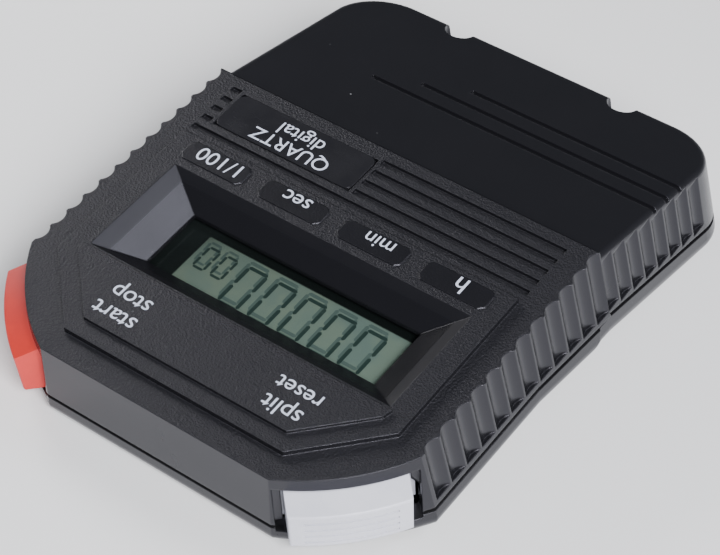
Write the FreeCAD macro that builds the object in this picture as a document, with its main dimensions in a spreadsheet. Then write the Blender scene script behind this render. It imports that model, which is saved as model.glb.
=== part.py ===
"""Hand-held digital stopwatch: a bent two-part housing, a recessed display,
two corner buttons, the works behind the display and a battery bay behind a sliding cover.

Millimetres. The pieces are drawn in the face frame: the raised rim round the face is the
plane z = 0, its button end is y = 0 and +X is the right-hand side of the reader. The deck
over the battery bends away from the face, and its pieces are drawn in the deck frame.
At the end everything is stood on its underside, with the origin under the middle."""

import FreeCAD, Part
import math
import os
import Sketcher

Vector = FreeCAD.Vector
doc = FreeCAD.newDocument("Stopwatch")
sheet = doc.addObject("Spreadsheet::Sheet", "Sizes")


class Size:
    """A length that carries its sheet expression together with its present value."""

    def __init__(self, text, value):
        self.text = text
        self.value = float(value)

    def join(self, other, sign, value):
        return Size("(%s %s %s)" % (self.text, sign, as_size(other).text), value)

    def __add__(self, other):
        return self.join(other, "+", self.value + as_size(other).value)

    def __sub__(self, other):
        return self.join(other, "-", self.value - as_size(other).value)

    def __mul__(self, other):
        return self.join(other, "*", self.value * as_size(other).value)

    def __truediv__(self, other):
        return self.join(other, "/", self.value / as_size(other).value)

    def __radd__(self, other):
        return as_size(other) + self

    def __rsub__(self, other):
        return as_size(other) - self

    def __rmul__(self, other):
        return as_size(other) * self

    def __neg__(self):
        return Size("(0 - %s)" % self.text, -self.value)

    def root(self):
        return Size("sqrt(%s)" % self.text, math.sqrt(self.value))

    def arc_tangent(self):
        """The angle in degrees, as a plain number."""
        return Size("(atan(%s) / 1 deg)" % self.text, math.degrees(math.atan(self.value)))


def as_size(number):
    return number if isinstance(number, Size) else Size("%.6g" % number, number)


def tangent(angle):
    return Size("tan(%s * 1 deg)" % angle.text, math.tan(math.radians(angle.value)))


sheet_rows = []


def size(name, value):
    """Puts one driving dimension in the sheet and returns it as a Size."""
    sheet_rows.append(name)
    row = len(sheet_rows)
    sheet.set("A%d" % row, name)
    sheet.set("B%d" % row, "%.6g" % value)
    sheet.setAlias("B%d" % row, name)
    return Size("Sizes." + name, value)


# Driving dimensions: each can be set by itself

ring_width = size("ringWidth", 62.0)            # across the rib crests at the rim
ring_length = size("ringLength", 52.9)          # button end to the bend
front_flat = size("frontFlat", 36.0)            # straight front wall between the buttons
corner_rise = size("cornerRise", 1.4)           # bulge of each cut corner
side_lean = size("sideLean", 0.21)              # outward lean of the side walls, mm per mm
front_lean = size("frontLean", 0.05)            # lean of the front and rear walls
wall = size("wall", 1.6)
roof = size("roof", 1.7)                        # thickness under the rim

bend = size("bendAngle", 14.3)                  # the deck falls away from the face, degrees
deck_step = size("deckStep", 1.2)
deck_length = size("deckLength", 35.6)
deck_inset = size("deckInset", 0.2)             # each side, from the rim
deck_corner = size("deckCorner", 8.5)
deck_roof = size("deckRoof", 1.4)
deck_hollow_start = size("deckHollowStart", 2.6)    # opens into the front half
rim_round = size("rimRound", 1.0)

front_wall = size("frontWall", 8.6)             # parting line under the rim at the front
knee_run = size("kneeRun", 36.0)                # where the underside starts to fall
knee_wall = size("kneeWall", 9.0)
bend_wall = size("bendWall", 11.0)
front_room = size("frontRoom", 3.0)             # underside below the board at the front
knee_room = size("kneeRoom", 3.6)
parting_gap = size("partingGap", 0.6)           # shadow gap between the housing halves
base_round = size("baseRound", 1.8)
base_floor = size("baseFloor", 1.4)
lip_height = size("lipHeight", 1.3)             # inner lip of the base behind the gap
lip_thick = size("lipThick", 1.1)
fit_gap = size("fitGap", 0.15)                  # between fixed neighbours

rib_pitch = size("ribPitch", 3.28)
rib_radius = size("ribRadius", 2.0)
rib_depth = size("ribDepth", 0.6)
rib_foot = size("ribFoot", 0.8)                 # plain strip between ribs and parting line
rib_start = size("ribStart", 13.5)
rib_under_edge = size("ribUnderEdge", 0.6)      # share of the rounded edge that the ribs leave

panel_lift = size("panelLift", 0.8)             # first raised step of the face
panel_front = size("panelFront", 3.8)
panel_flat = size("panelFlat", 34.6)
panel_width = size("panelWidth", 54.2)
panel_shoulder = size("panelShoulder", 13.9)
panel_end = size("panelEnd", 39.9)
face_lift = size("faceLift", 0.5)               # second step
face_front = size("faceFront", 6.25)
face_flat = size("faceFlat", 32.1)
face_width = size("faceWidth", 48.5)
face_shoulder = size("faceShoulder", 14.6)

recess_width = size("recessWidth", 49.3)        # mouth of the sunk display
recess_near = size("recessNear", 16.1)
recess_far = size("recessFar", 34.55)
opening_width = size("openingWidth", 36.8)      # foot of the sloping walls
opening_near = size("openingNear", 20.8)
opening_far = size("openingFar", 30.8)
slope_depth = size("slopeDepth", 3.0)
opening_lip = size("openingLip", 0.7)
funnel_wall = size("funnelWall", 1.5)

pad_count = 4                                   # label pads behind the display
pad_pitch = size("padPitch", 12.95)
pad_width = size("padWidth", 10.2)
pad_depth = size("padDepth", 3.5)
pad_lift = size("padLift", 0.15)
pad_round = size("padRound", 0.7)

groove_width = size("grooveWidth", 0.9)
groove_depth = size("grooveDepth", 0.5)
groove_side = size("grooveSide", 3.7)           # plain strip at the ends of the grooves
groove_count = 5
groove_first = size("grooveFirst", 41.9)
groove_pitch = size("groovePitch", 2.15)
deck_groove_count = 3
deck_groove_first = size("deckGrooveFirst", 15.1)
deck_groove_pitch = size("deckGroovePitch", 3.45)
deck_groove_start = size("deckGrooveStart", 15.9)
deck_groove_shift = size("deckGrooveShift", 6.3)

plate_left = size("plateLeft", 2.2)
plate_width = size("plateWidth", 23.0)
plate_near = size("plateNear", 43.6)
plate_depth = size("plateDepth", 6.9)
plate_thick = size("plateThick", 0.7)
plate_sink = size("plateSink", 0.6)
plate_round = size("plateRound", 1.1)
plate_gap = size("plateGap", 0.1)
plate_margin = size("plateMargin", 0.5)         # plain ground round the plate

notch_offset = size("notchOffset", 14.0)        # two lanyard notches in the rear wall
notch_radius = size("notchRadius", 2.3)
notch_depth = size("notchDepth", 5.0)
notch_inset = size("notchInset", 0.4)
bar_radius = size("barRadius", 0.8)
bar_length = size("barLength", 38.0)
bar_inset = size("barInset", 5.2)
bar_drop = size("barDrop", 4.4)

button_width = size("buttonWidth", 15.2)
button_gap = size("buttonGap", 0.3)
button_stand = size("buttonStand", 3.2)         # stands proud of the corner
button_taper = size("buttonTaper", 0.4)
button_bevel = size("buttonBevel", 1.2)
bevel_stand = size("bevelStand", 0.2)
button_top = size("buttonTop", 2.0)             # top of the button under the rim
button_foot = size("buttonFoot", 9.5)
button_inner = size("buttonInner", 3.3)
flange_lip = size("flangeLip", 1.0)             # each side of the button
flange_thick = size("flangeThick", 1.2)
flange_drop = size("flangeDrop", 0.6)
pocket_margin = size("pocketMargin", 1.4)       # dark slot beside each button
pocket_depth = size("pocketDepth", 1.0)
grip_pitch = size("gripPitch", 1.3)
grip_width = size("gripWidth", 0.4)
grip_cut = size("gripCut", 0.25)
grip_span = size("gripSpan", 11.6)
grip_first = size("gripFirst", 4.4)
grip_count = 4
button_round = size("buttonRound", 0.35)
stem_radius = size("stemRadius", 1.6)
travel = size("buttonTravel", 0.8)

lens_thick = size("lensThick", 0.8)
lens_margin = size("lensMargin", 1.4)
display_thick = size("displayThick", 1.8)
reflector_thick = size("reflectorThick", 0.2)
holder_wall = size("holderWall", 1.0)
strip_thick = size("stripThick", 1.2)
strip_gap = size("stripGap", 0.5)
mirror_inset = size("mirrorInset", 0.4)
holder_gap = size("holderGap", 0.05)
strip_height = size("stripHeight", 2.1)         # from the display down to the board
board_thick = size("boardThick", 0.9)
board_side = size("boardSide", 7.8)             # room beside the board
board_near = size("boardNear", 10.2)
board_end = size("boardEnd", 7.9)               # room behind it
board_setback = size("boardSetback", 8.84)      # behind the cut corners of the housing
board_hole_side = size("boardHoleSide", 2.7)
board_hole_end = size("boardHoleEnd", 5.5)

switch_side = size("switchSide", 5.0)
switch_height = size("switchHeight", 3.3)
switch_back = size("switchBack", 11.3)          # switch centre behind the corner
plunger_radius = size("plungerRadius", 1.1)
plunger_reach = size("plungerReach", 1.6)
plunger_sunk = size("plungerSunk", 1.2)
plunger_room = size("plungerRoom", 0.3)

chip_radius = size("chipRadius", 4.0)
chip_height = size("chipHeight", 1.1)
chip_round = size("chipRound", 0.9)
chip_run = size("chipRun", 24.0)
crystal_radius = size("crystalRadius", 1.0)
crystal_length = size("crystalLength", 6.2)
crystal_start = size("crystalStart", 6.0)
crystal_end = size("crystalEnd", 3.0)           # from the rear edge of the board
pin_radius = size("pinRadius", 0.2)
pin_length = size("pinLength", 1.9)
pin_spacing = size("pinSpacing", 0.45)
trimmer_radius = size("trimmerRadius", 1.7)
trimmer_height = size("trimmerHeight", 1.3)
trimmer_x = size("trimmerX", 8.0)
trimmer_end = size("trimmerEnd", 4.0)
slot_width = size("slotWidth", 0.5)             # driver slots
slot_depth = size("slotDepth", 0.45)
ceramic_length = size("ceramicLength", 1.6)
ceramic_width = size("ceramicWidth", 0.8)
ceramic_height = size("ceramicHeight", 0.7)
ceramic_spots = [(-14, -33), (-14, -36), (12.4, -33), (12.4, -36), (-6, -15)]

cell_radius = size("cellRadius", 5.25)          # AAA cell
cell_length = size("cellLength", 43.3)
cell_cap_radius = size("cellCapRadius", 1.9)
cell_cap_length = size("cellCapLength", 1.2)
cell_run = size("cellRun", 17.0)                # cell axis behind the bend
cell_gap = size("cellGap", 0.3)
cell_play = size("cellPlay", 0.26313)           # between the cell and the cover
cell_shift = size("cellShift", 1.0)
cell_round = size("cellRound", 0.5)
cradle_wall = size("cradleWall", 1.0)
web_thick = size("webThick", 1.2)
web_inset = size("webInset", 9.0)
contact_thick = size("contactThick", 0.4)
contact_width = size("contactWidth", 8.0)
contact_height = size("contactHeight", 7.0)
tab_top = size("tabTop", 1.4)                   # tab of each contact about the cell axis
tab_foot = size("tabFoot", 0.8)
tab_end = size("tabEnd", 4.5)                   # where the tab turns, behind the bend
spring_length = size("springLength", 4.6)
leaf_half = size("leafHalf", 3.2)                # bent leaf that presses the cell
leaf_tip = size("leafTip", 0.6)
leaf_thick = size("leafThick", 0.6)
leaf_width = size("leafWidth", 3.2)
lead_x = size("leadX", 21.5)                    # leads from the contacts to the board
lead_radius = size("leadRadius", 0.4)
lead_inset = size("leadInset", 1.2)             # solder joint, from the rear edge of the board
lead_lift = size("leadLift", 0.52)

cover_floor = size("coverFloor", 1.2)
joint_gap = size("jointGap", 0.4)               # curved joint between base and cover
joint_back = size("jointBack", 2.7)             # in front of the bend at the parting line
joint_sweep = size("jointSweep", 3.0)           # further forward at the underside
joint_belly = size("jointBelly", 0.5)
rail_inset = size("railInset", 3.4)
rail_thick = size("railThick", 1.3)
rail_start = size("railStart", 2.5)
rail_end = size("railEnd", 6.0)
rail_foot = size("railFoot", 12.0)              # the rails hold the cover's tongues
tongue = size("tongueReach", 0.6)
tongue_gap = size("tongueGap", 0.2)
tongue_thick = size("tongueThick", 0.7)
tongue_drop = size("tongueDrop", 10.5)
tongue_root = size("tongueRoot", 0.9)           # run into the leaning wall
thumb_width = size("thumbWidth", 16.0)          # grip grooves under the cover
thumb_first = size("thumbFirst", 6.0)
thumb_pitch = size("thumbPitch", 1.8)
thumb_cut = size("thumbCut", 0.5)
thumb_count = 6

screw_radius = size("screwRadius", 1.1)
screw_head = size("screwHead", 2.0)
head_height = size("headHeight", 1.2)
head_sunk = size("headSunk", 0.4)
boss_radius = size("bossRadius", 2.3)
boss_foot = size("bossFoot", 8.0)
boss_gap = size("bossGap", 0.1)
board_boss_radius = size("boardBossRadius", 2.0)
screw_gap = size("screwGap", 0.05)
pilot_depth = size("pilotDepth", 5.0)
board_screw_radius = size("boardScrewRadius", 0.9)
board_screw_reach = size("boardScrewReach", 4.0)
board_screw_head = size("boardScrewHead", 1.7)
board_head_height = size("boardHeadHeight", 1.0)
front_screw_side = size("frontScrewSide", 7.0)  # inside the ends of the front wall
front_screw_y = size("frontScrewY", 6.2)
rear_screw_side = size("rearScrewSide", 4.8)
rear_screw_end = size("rearScrewEnd", 9.3)

doc.recompute()

# What follows from them
half = ring_width / 2
slope = tangent(bend)
cosine = Size("cos(%s * 1 deg)" % bend.text, math.cos(math.radians(bend.value)))
sine = Size("sin(%s * 1 deg)" % bend.text, math.sin(math.radians(bend.value)))
root_half = math.sqrt(0.5)
deck_half = half - deck_inset
board_top = slope_depth + opening_lip + lens_thick + display_thick + strip_height
under_board = board_top + board_thick
board_half = half - board_side
board_far = ring_length - board_end
board_corner = board_half - board_near - front_flat / 2 + board_setback / root_half
board_hole_x = board_half - board_hole_side
board_hole_y = board_far - board_hole_end
front_depth = under_board + front_room
knee_depth = under_board + knee_room
bend_depth = deck_step + (deck_roof + cell_gap + cell_radius * 2 + cell_play + cover_floor) / cosine
groove_reach = half - groove_side
flange_width = button_width + 2 * flange_lip
front_screw_x = front_flat / 2 - front_screw_side
rear_screw_x = half - rear_screw_side
rear_screw_y = ring_length - rear_screw_end
joint_top = ring_length - joint_back
joint_foot = joint_top - joint_sweep
front_ribs = int((ring_length - rib_start).value / rib_pitch.value)
deck_ribs = int((deck_length - deck_corner).value / rib_pitch.value)
switch_face = switch_back - switch_side / 2
stem_level = board_top - switch_height / 2
cover_skin = (bend_depth - deck_step) * cosine

reach = 18.0                    # how far the tall blanks run below the rim before trimming
above = 5                       # clear of everything in front of the face and above it
overlap = 0.3                   # how far fused pieces run into each other

# Small drawing helpers

across_turn = FreeCAD.Rotation(Vector(1, 1, 1), 120)     # sketch x, y become Y, Z
along_x = FreeCAD.Rotation(Vector(0, 1, 0), 90)
along_y = FreeCAD.Rotation(Vector(1, 0, 0), -90)


def bind(feature, **values):
    """Sets each property from a Size, a number or a plain value."""
    for name, value in values.items():
        if isinstance(value, Size):
            setattr(feature, name, value.value)
            feature.setExpression(name, value.text)
        else:
            setattr(feature, name, value)
    return feature


def place(feature, x=0, y=0, z=0, turn=None):
    """Moves a feature to bound coordinates; turn is a fixed rotation."""
    feature.Placement = FreeCAD.Placement(Vector(0, 0, 0), turn or FreeCAD.Rotation())
    for axis, value in zip("xyz", (x, y, z)):
        feature.setExpression("Placement.Base." + axis, as_size(value).text)
    return feature


def in_deck_frame(feature, drop=0):
    """Puts a feature in the deck frame, optionally lowered along the face's own z."""
    place(feature, 0, -ring_length, -(deck_step + drop), FreeCAD.Rotation(Vector(1, 0, 0), 1))
    feature.setExpression("Placement.Rotation.Angle", bend.text)
    return feature


def draw(sketch, points, arcs):
    """Closed clockwise outline; arcs maps an edge number to its radius, bulging outwards."""
    spots = [(as_size(x), as_size(y)) for x, y in points]
    count = len(spots)
    ends = [(2, 1) if i in arcs else (1, 2) for i in range(count)]   # arcs run anticlockwise
    for i in range(count):
        start = Vector(spots[i][0].value, spots[i][1].value, 0)
        end = Vector(spots[(i + 1) % count][0].value, spots[(i + 1) % count][1].value, 0)
        if i in arcs:
            chord = end - start
            radius = as_size(arcs[i]).value
            inward = Vector(chord.y, -chord.x, 0).normalize()
            centre = (start + end) / 2 + inward * math.sqrt(radius ** 2 - chord.Length ** 2 / 4)
            first = math.atan2(end.y - centre.y, end.x - centre.x)
            last = math.atan2(start.y - centre.y, start.x - centre.x)
            last += 2 * math.pi if last < first else 0
            circle = Part.Circle(centre, Vector(0, 0, 1), radius)
            sketch.addGeometry(Part.ArcOfCircle(circle, first, last))
        else:
            sketch.addGeometry(Part.LineSegment(start, end))
    for i in range(count):
        after = (i + 1) % count
        sketch.addConstraint(Sketcher.Constraint("Coincident", i, ends[i][1], after, ends[after][0]))
    for i in range(count):
        for kind, spot in zip(("DistanceX", "DistanceY"), spots[i]):
            number = sketch.addConstraint(
                Sketcher.Constraint(kind, -1, 1, i, ends[i][0], spot.value))
            sketch.setExpression("Constraints[%d]" % number, spot.text)
    for i, radius in arcs.items():
        radius = as_size(radius)
        number = sketch.addConstraint(Sketcher.Constraint("Radius", i, radius.value))
        sketch.setExpression("Constraints[%d]" % number, radius.text)
    return sketch


def outline(name, points, arcs=None):
    return draw(doc.addObject("Sketcher::SketchObject", name), points, arcs or {})


def prism(name, sketch, length, both=False):
    """Pushes a sketch along its own normal."""
    solid = doc.addObject("Part::Extrusion", name)
    solid.Base = sketch
    solid.DirMode = "Normal"
    solid.Solid = True
    solid.Symmetric = both
    return bind(solid, LengthFwd=as_size(length))


def slab(name, points, bottom, top, arcs=None):
    """A plate with the given outline between two heights."""
    bottom = as_size(bottom)
    sketch = place(outline(name + "Outline", points, arcs), 0, 0, bottom)
    return prism(name, sketch, as_size(top) - bottom)


def across(name, points, width):
    """A solid with the given side view, its points as (y, z), centred on x = 0."""
    sketch = outline(name + "Side", points)
    sketch.Placement = FreeCAD.Placement(Vector(), across_turn)
    return prism(name, sketch, width, both=True)


def loft(name, sections):
    solid = doc.addObject("Part::Loft", name)
    solid.Sections = sections
    solid.Solid = True
    solid.Ruled = True
    return solid


def box(name, x, y, z):
    """A box between two bound corners, each axis given as (low, high)."""
    solid = doc.addObject("Part::Box", name)
    lows = [as_size(low) for low, high in (x, y, z)]
    spans = [as_size(high) - as_size(low) for low, high in (x, y, z)]
    bind(solid, Length=spans[0], Width=spans[1], Height=spans[2])
    return place(solid, *lows)


def ordered(one, other):
    return (one, other) if one.value < other.value else (other, one)


def middle_box(name, width, y, z):
    width = as_size(width)
    return box(name, (-width / 2, width / 2), y, z)


def rod(name, radius, length, x, y, z, turn=None):
    solid = doc.addObject("Part::Cylinder", name)
    bind(solid, Radius=as_size(radius), Height=as_size(length))
    return place(solid, x, y, z, turn)


def join(name, *solids):
    result = doc.addObject("Part::MultiFuse", name)
    result.Shapes = list(solids)
    return result


def shared(name, *solids):
    result = doc.addObject("Part::MultiCommon", name)
    result.Shapes = list(solids)
    return result


def cut(name, base, *tools):
    result = doc.addObject("Part::Cut", name)
    result.Base = base
    result.Tool = tools[0] if len(tools) == 1 else join(name + "Tools", *tools)
    return result


def group(name, *solids):
    """Separate solids that make one node."""
    result = doc.addObject("Part::Compound", name)
    result.Links = list(solids)
    return result


def rounded(name, solid, radius, wanted):
    """Rounds the edges for which wanted(edge) is true."""
    doc.recompute()
    result = doc.addObject("Part::Fillet", name)
    result.Base = solid
    edges = [i + 1 for i, edge in enumerate(solid.Shape.Edges) if wanted(edge)]
    result.Edges = [(i, radius.value, radius.value) for i in edges]
    return result


subparts = []


def finish(label, solid, bound_to=None):
    """Marks a document object as one named piece; bound_to is its drawing frame."""
    solid.Label = label
    subparts.append((solid, bound_to or FreeCAD.Placement()))
    return solid


deck_frame = FreeCAD.Placement(
    Vector(0, -ring_length.value, -deck_step.value),
    FreeCAD.Rotation(Vector(1, 0, 0), bend.value))


# The outer form that the housing pieces share

corner_depth = half - front_flat / 2                 # the corners are cut at 45 degrees
chord_half_squared = corner_depth * corner_depth / 2
corner_radius = (chord_half_squared + corner_rise * corner_rise) / (2 * corner_rise)


def face_section(name, drop, inset):
    """Outline of the front half, a given depth below the rim."""
    side = half + side_lean * drop - inset
    front = front_lean * drop - inset
    flat = front_flat / 2 - inset * math.tan(math.radians(22.5))
    points = [(-flat, front), (flat, front), (side, -corner_depth), (side, -ring_length),
              (-side, -ring_length), (-side, -corner_depth)]
    # the corner keeps its rise while its chord changes with the lean
    chord_x = side - flat
    chord_y = front + corner_depth
    chord_quarter = (chord_x * chord_x + chord_y * chord_y) / 4
    radius = (chord_quarter + corner_rise * corner_rise) / (2 * corner_rise)
    return place(outline(name, points, {1: radius, 5: radius}), 0, 0, -as_size(drop))


def deck_section(name, drop, inset, start=0):
    """Outline of the rear half in a plane parallel to the deck, drop below it."""
    side = deck_half + side_lean * drop - inset
    end = deck_length + front_lean * drop - inset
    corner = deck_corner + front_lean * drop - inset
    points = [(-side, start), (side, start), (side, corner - end), (side - corner, -end),
              (corner - side, -end), (-side, corner - end)]
    return in_deck_frame(outline(name, points, {2: corner, 4: corner}), drop)


def face_blank(name, inset=0, top=0, bottom=reach):
    return loft(name, [face_section(name + "Top", as_size(top), as_size(inset)),
                       face_section(name + "Foot", as_size(bottom), as_size(inset))])


def deck_blank(name, inset=0, top=0, bottom=reach, start=0):
    return loft(name, [deck_section(name + "Top", as_size(top), as_size(inset), start),
                       deck_section(name + "Foot", as_size(bottom), as_size(inset), start)])


far = 60.0                                            # beyond every outline
cover_blank_start = 12                                # well forward of the curved joint


def falling(depth, run):
    """Height of a line that drops with the deck, starting at depth under the bend."""
    return -(depth + slope * run)


def side_band(name, tops, bottoms, width=120):
    """Side view between two lines of (y, z) points, front to rear."""
    return across(name, tops + bottoms[::-1], width)


def housing_line(offset, front, knee, at_bend):
    """The bent line under the rim at which the halves part, or the underside."""
    return [(above, -(front + offset)), (-knee_run, -(knee + offset)),
            (-ring_length, -(at_bend + offset)),
            (-(ring_length + far), falling(at_bend + offset, far))]


def parting(offset=0):
    return housing_line(offset, front_wall, knee_wall, bend_wall)


def underside(offset=0):
    return housing_line(offset, front_depth, knee_depth, bend_depth)


def on_line(line, y):
    """Height of a bent line at a given y; Sizes stay bound to the sheet."""
    for (y0, z0), (y1, z1) in zip(line, line[1:]):
        y0, y1, z0, z1 = (as_size(v) for v in (y0, y1, z0, z1))
        if y1.value <= as_size(y).value <= y0.value:
            return z0 + (z1 - z0) * (as_size(y) - y0) / (y1 - y0)
    raise ValueError("outside the line")


def rim_line():
    return [(above, above), (-(ring_length + far), above)]


# Corner frames for the buttons

corner_mid_x = front_flat / 2 + corner_depth / 2 + corner_rise * root_half
corner_mid_y = -(corner_depth / 2) + corner_rise * root_half


def in_corner_frame(feature, side):
    """x runs along the cut corner and y out of it; side is +1 right or -1 left."""
    return place(feature, side * corner_mid_x, corner_mid_y, 0,
                 FreeCAD.Rotation(Vector(0, 0, 1), -45 * side))


def button_channel(name, side):
    """What the button needs open: its guide, and the wider slot beside it."""
    levels = (-(button_foot + button_gap), -(button_top - fit_gap))
    outside = button_stand + above
    guide = middle_box(name + "Guide", button_width + 2 * button_gap,
                       (-(button_inner + flange_thick + travel * 2 + overlap), outside), levels)
    slot = middle_box(name + "Slot", button_width + 2 * pocket_margin,
                      (-(corner_rise / 2 + pocket_depth), outside), levels)
    return in_corner_frame(join(name, guide, slot), side)


# Upper shell

def recess_rectangle(name, width, near, far_edge, height):
    points = [(-width / 2, -far_edge), (width / 2, -far_edge),
              (width / 2, -near), (-width / 2, -near)]
    return place(outline(name, points), 0, 0, height)


def upper_outer():
    face = shared("faceOuter", face_blank("faceBlank"),
                  side_band("faceBand", rim_line(), parting()))
    deck = shared("deckOuter", deck_blank("deckBlank"),
                  side_band("deckBand", rim_line(), parting()))
    deck_top = deck_step.value

    def on_rim(edge):
        box_of = edge.BoundBox
        centre = edge.CenterOfMass
        run = -(centre.y + ring_length.value)
        level = -(deck_top + run * slope.value)
        return abs(centre.z - level) < 0.02 and run > 0.5 and box_of.YMin < -ring_length.value - 1

    return join("upperOuter", face, rounded("deckRounded", deck, rim_round, on_rim))


def raised_steps():
    flat = panel_flat / 2
    side = panel_width / 2
    panel = slab("panelStep", [(-side, -panel_end), (side, -panel_end), (side, -panel_shoulder),
                               (flat, -panel_front), (-flat, -panel_front),
                               (-side, -panel_shoulder)], -overlap, panel_lift)
    flat = face_flat / 2
    side = face_width / 2
    mouth = recess_width / 2
    face = slab("faceStep", [(-mouth, -recess_near), (mouth, -recess_near),
                             (side, -face_shoulder), (flat, -face_front), (-flat, -face_front),
                             (-side, -face_shoulder)], 0, panel_lift + face_lift)
    middle = (recess_far + panel_end) / 2
    pads = []
    for i in range(pad_count):
        low = -(middle + pad_depth / 2)
        left = pad_pitch * (i - (pad_count - 1) / 2) - pad_width / 2
        right = left + pad_width
        high = low + pad_depth
        points = [(left + pad_round, low), (right - pad_round, low), (right, low + pad_round),
                  (right, high - pad_round), (right - pad_round, high),
                  (left + pad_round, high), (left, high - pad_round), (left, low + pad_round)]
        pads.append(slab("labelPad%d" % (i + 1), points, 0, panel_lift + pad_lift))
    return [panel, face] + pads


def funnel():
    """Material round the sunk display, below the roof."""
    grow = 2 * funnel_wall
    return loft("funnel", [
        recess_rectangle("funnelTop", recess_width + grow, recess_near - funnel_wall,
                         recess_far + funnel_wall, -overlap),
        recess_rectangle("funnelFoot", opening_width + 2 * lens_margin + grow,
                         opening_near - lens_margin - funnel_wall,
                         opening_far + lens_margin + funnel_wall,
                         -(slope_depth + opening_lip + lens_thick - fit_gap))])


def display_cuts():
    mouth = loft("recess", [
        recess_rectangle("recessMouth", recess_width, recess_near, recess_far,
                         panel_lift + face_lift),
        recess_rectangle("recessFoot", opening_width, opening_near, opening_far, -slope_depth)])
    throat = middle_box("throat", opening_width, (-opening_far, -opening_near),
                        (-(slope_depth + opening_lip + 1), -(slope_depth - 0.05)))
    seat_top = -(slope_depth + opening_lip)
    seat = middle_box("lensSeat", opening_width + 2 * lens_margin + 2 * fit_gap,
                      (-(opening_far + lens_margin + fit_gap),
                       -(opening_near - lens_margin - fit_gap)),
                      (seat_top - lens_thick - 1, seat_top))
    return [mouth, throat, seat]


def face_grooves():
    """The first runs right across, and the name plate interrupts the others."""
    cuts = []
    for i in range(groove_count):
        y = -(groove_first + groove_pitch * i)
        cuts.append(middle_box("faceGroove%d" % (i + 1), groove_reach * 2,
                               (y - groove_width / 2, y + groove_width / 2),
                               (-groove_depth, 1)))
    return cuts


def plate_seat():
    plinth = box("plateGround",
                 (plate_left - plate_margin, plate_left + plate_width + plate_margin),
                 (-(plate_near + plate_depth + plate_margin), -(plate_near - plate_margin)), (-1, 0))
    pocket = box("platePocket", (plate_left, plate_left + plate_width),
                 (-(plate_near + plate_depth), -plate_near), (-plate_sink, 1))
    return plinth, pocket


def deck_grooves():
    cuts = []
    for i in range(deck_groove_count):
        v = -(deck_groove_first + deck_groove_pitch * i)
        cuts.append(box("deckGroove%d" % (i + 1),
                        (-(deck_half + above), deck_groove_start - deck_groove_shift * i),
                        (v - groove_width / 2, v + groove_width / 2), (-groove_depth, 1)))
    return in_deck_frame(join("deckGrooves", *cuts))


def notch_cuts():
    cuts = [rod("notch%s" % name, notch_radius, notch_depth + 1, x,
                -(deck_length - notch_inset), -notch_depth)
            for name, x in (("Left", -notch_offset), ("Right", notch_offset))]
    return in_deck_frame(join("notches", *cuts))


def rib_cuts():
    """Scallops down both side walls, following their lean."""
    lean_angle = math.degrees(math.atan(side_lean.value))
    cuts = []
    for side in (1, -1):
        turn = FreeCAD.Rotation(Vector(0, 1, 0), 180 - lean_angle * side)
        for i in range(front_ribs + deck_ribs):
            run = rib_start + rib_pitch * (i + 0.5)
            beyond = run - ring_length
            if i < front_ribs:
                start = as_size(-2)
                crest = half
                foot = -on_line(parting(), -run)
            else:
                start = deck_step + slope * beyond + rim_round * rib_under_edge
                crest = deck_half - side_lean * (deck_step + slope * beyond)
                foot = bend_wall + slope * beyond
            length = foot - rib_foot - start
            centre = crest + rib_radius - rib_depth + side_lean * start
            cuts.append(rod("rib%s%d" % ("Right" if side > 0 else "Left", i + 1), rib_radius,
                            length, side * centre, -run, -start, turn))
    return cuts


def upper_inner():
    face = shared("faceHollow",
                  face_blank("faceHollowBlank", wall, roof, reach + 2),
                  side_band("faceHollowBand", [(above, -roof), (-(ring_length - wall), -roof)],
                            [(above, -far), (-(ring_length - wall), -far)]))
    deck = deck_blank("deckHollow", wall, deck_roof / cosine, reach + 2, deck_hollow_start)
    return [face, deck]


screw_spots = [("FrontLeft", -front_screw_x, -front_screw_y),
               ("FrontRight", front_screw_x, -front_screw_y),
               ("RearLeft", -rear_screw_x, -rear_screw_y),
               ("RearRight", rear_screw_x, -rear_screw_y)]
board_screw_spots = [("Left", -board_hole_x), ("Right", board_hole_x)]


def upper_shell():
    hollowed = cut("upperHollow", upper_outer(), *upper_inner())
    bosses = [rod("boss" + name, boss_radius, boss_foot - roof + overlap, x, y, -boss_foot)
              for name, x, y in screw_spots]
    bosses += [rod("boardBoss" + name, board_boss_radius, board_top - roof + overlap, x,
                   -board_hole_y, -board_top) for name, x in board_screw_spots]
    rails = []
    for name, side in (("Left", -1), ("Right", 1)):
        outer = deck_half - rail_inset + rail_thick
        rail = box("rail" + name, ordered(side * (outer - rail_thick), side * outer),
                   (-(deck_length - rail_end), -rail_start), (-rail_foot, overlap - deck_roof))
        groove = box("railGroove" + name,
                     ordered(side * (outer - tongue - tongue_gap), side * (outer + 1)),
                     (-deck_length, 0),
                     (-(tongue_drop + tongue_thick + tongue_gap), -(tongue_drop - tongue_gap)))
        rails.append(cut("groovedRail" + name, rail, groove))
    in_rear = in_deck_frame(join("rails", *rails))
    plinth, pocket = plate_seat()
    grooved = cut("upperGrooved", join("upperSolid", hollowed, funnel(), in_rear, *bosses,
                                       *raised_steps()), *face_grooves())
    holes = [rod("pilot" + name, screw_radius + screw_gap, pilot_depth + 1, x, y,
                 -(boss_foot + 1)) for name, x, y in screw_spots]
    holes += [rod("boardPilot" + name, board_screw_radius + screw_gap, board_screw_reach + 1, x,
                  -board_hole_y, -(board_top + 1)) for name, x in board_screw_spots]
    body = cut("upperShell", join("upperFilled", grooved, plinth), pocket, deck_grooves(),
               notch_cuts(), *display_cuts(), *rib_cuts(), *holes,
               button_channel("rightChannel", 1), button_channel("leftChannel", -1))
    return finish("upper_shell", body)


# Underside: base shell, sliding battery cover

joint_middle = (joint_top * 2 + joint_foot) / 3


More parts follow.
